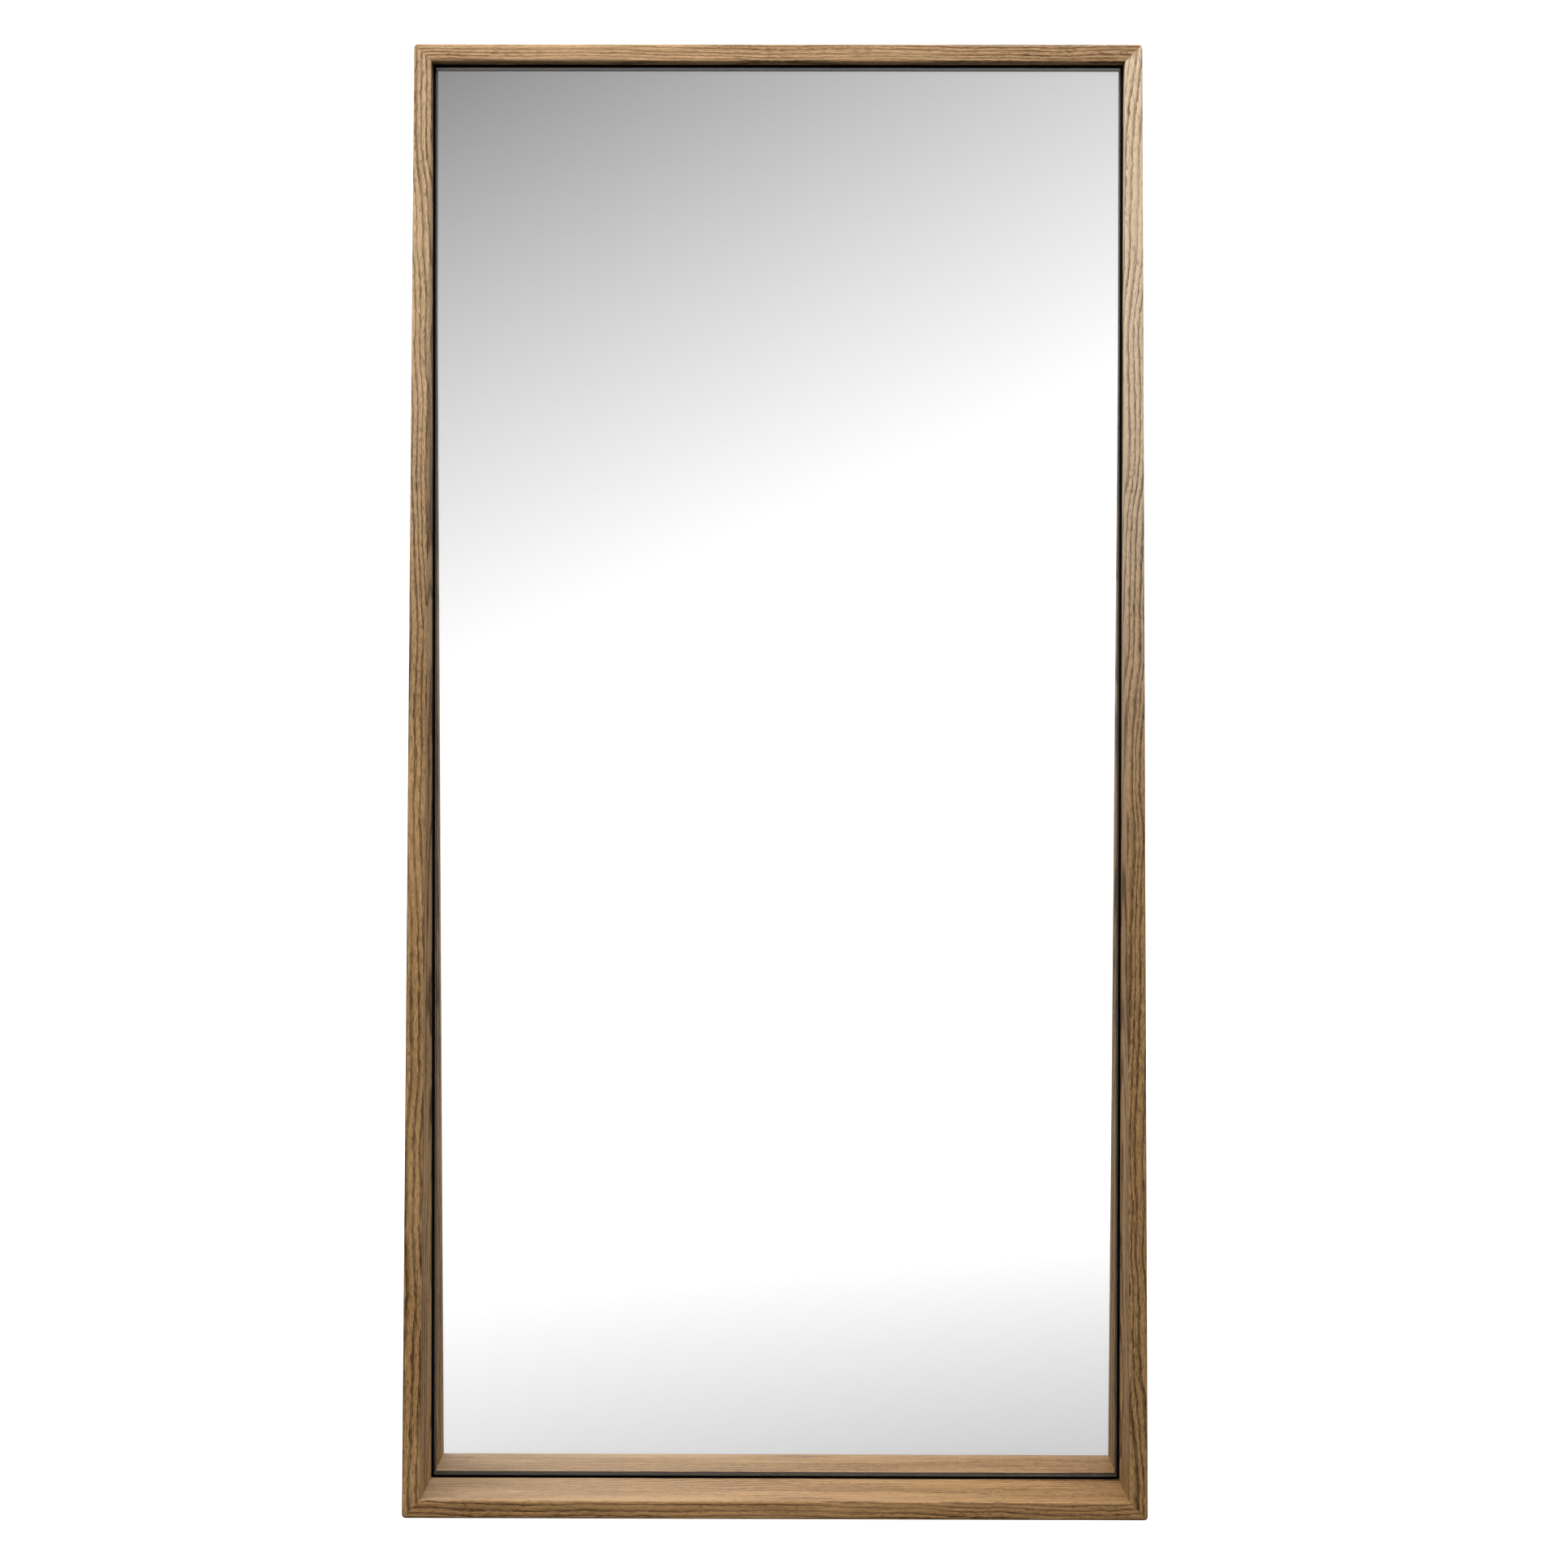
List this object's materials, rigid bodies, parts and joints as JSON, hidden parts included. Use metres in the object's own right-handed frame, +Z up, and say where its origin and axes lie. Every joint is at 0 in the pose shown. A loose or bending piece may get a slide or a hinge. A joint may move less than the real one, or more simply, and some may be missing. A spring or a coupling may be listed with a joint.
{
  "type": "floor mirror",
  "caption": "Full-length leaning floor mirror: a flat glass set deep in a mitred wooden frame that widens in side view from a shallow top to a deep foot ledge.",
  "frame": {"origin": "on the floor, at the centre of the bounding box's base: midway across, and midway from the foot's front edge to the wall bumpers", "axes": "+Z up, +X across to the viewer's right when facing the glass, +Y towards the wall behind; the glass faces -Y"},
  "size_m": [0.9, 0.1319, 1.803],
  "materials": {
    "frame_wood": "open-pored ash, brown stain, matt oil",
    "beech": "pressed beech",
    "pine": "planed softwood",
    "fibreboard": "medium density fibreboard, front rim painted black",
    "float_glass": "clear float glass, ground arris",
    "silvering": "silver layer",
    "film": "woven safety film",
    "foam_tape": "foam mounting tape",
    "zinc_steel": "zinc plated",
    "zinc_screws": "zinc plated",
    "rubber": "moulded rubber"
  },
  "bodies": {
    "mirror": {"left_stile": "frame_wood", "right_stile": "frame_wood", "top_rail": "frame_wood", "bottom_rail": "frame_wood", "lower_left_biscuits": "beech", "lower_right_biscuits": "beech", "upper_left_biscuits": "beech", "upper_right_biscuits": "beech", "left_batten": "pine", "right_batten": "pine", "top_batten": "pine", "bottom_batten": "pine", "upper_brace": "pine", "lower_brace": "pine", "backing_board": "fibreboard", "mirror_glass": "float_glass", "silver_layer": "silvering", "safety_film": "film", "batten_screws": "zinc_screws", "board_screws": "zinc_screws", "bracket_screws": "zinc_screws", "hanger_screws": "zinc_screws", "left_hanger_plate": "zinc_steel", "right_hanger_plate": "zinc_steel", "tape_strip_1": "foam_tape", "tape_strip_2": "foam_tape", "tape_strip_3": "foam_tape", "tape_strip_4": "foam_tape", "tape_strip_5": "foam_tape", "lower_left_bracket": "zinc_steel", "lower_left_bumper": "rubber", "lower_right_bracket": "zinc_steel", "lower_right_bumper": "rubber", "upper_left_bracket": "zinc_steel", "upper_left_bumper": "rubber", "upper_right_bracket": "zinc_steel", "upper_right_bumper": "rubber", "front_left_pad": "rubber", "front_right_pad": "rubber", "rear_left_pad": "rubber", "rear_right_pad": "rubber"},
    "left_ring": {"left_hanger_ring": "zinc_steel"},
    "right_ring": {"right_hanger_ring": "zinc_steel"}
  },
  "joints": [
    {"name": "left_ring_swing", "type": "hinge", "parent": "mirror", "child": "left_ring", "pos_m": [-0.413, 0.0619, 1.5], "axis": [1, 0, 0], "range_deg": [0, 180]},
    {"name": "right_ring_swing", "type": "hinge", "parent": "mirror", "child": "right_ring", "pos_m": [0.413, 0.0619, 1.5], "axis": [1, 0, 0], "range_deg": [0, 180]}
  ]
}
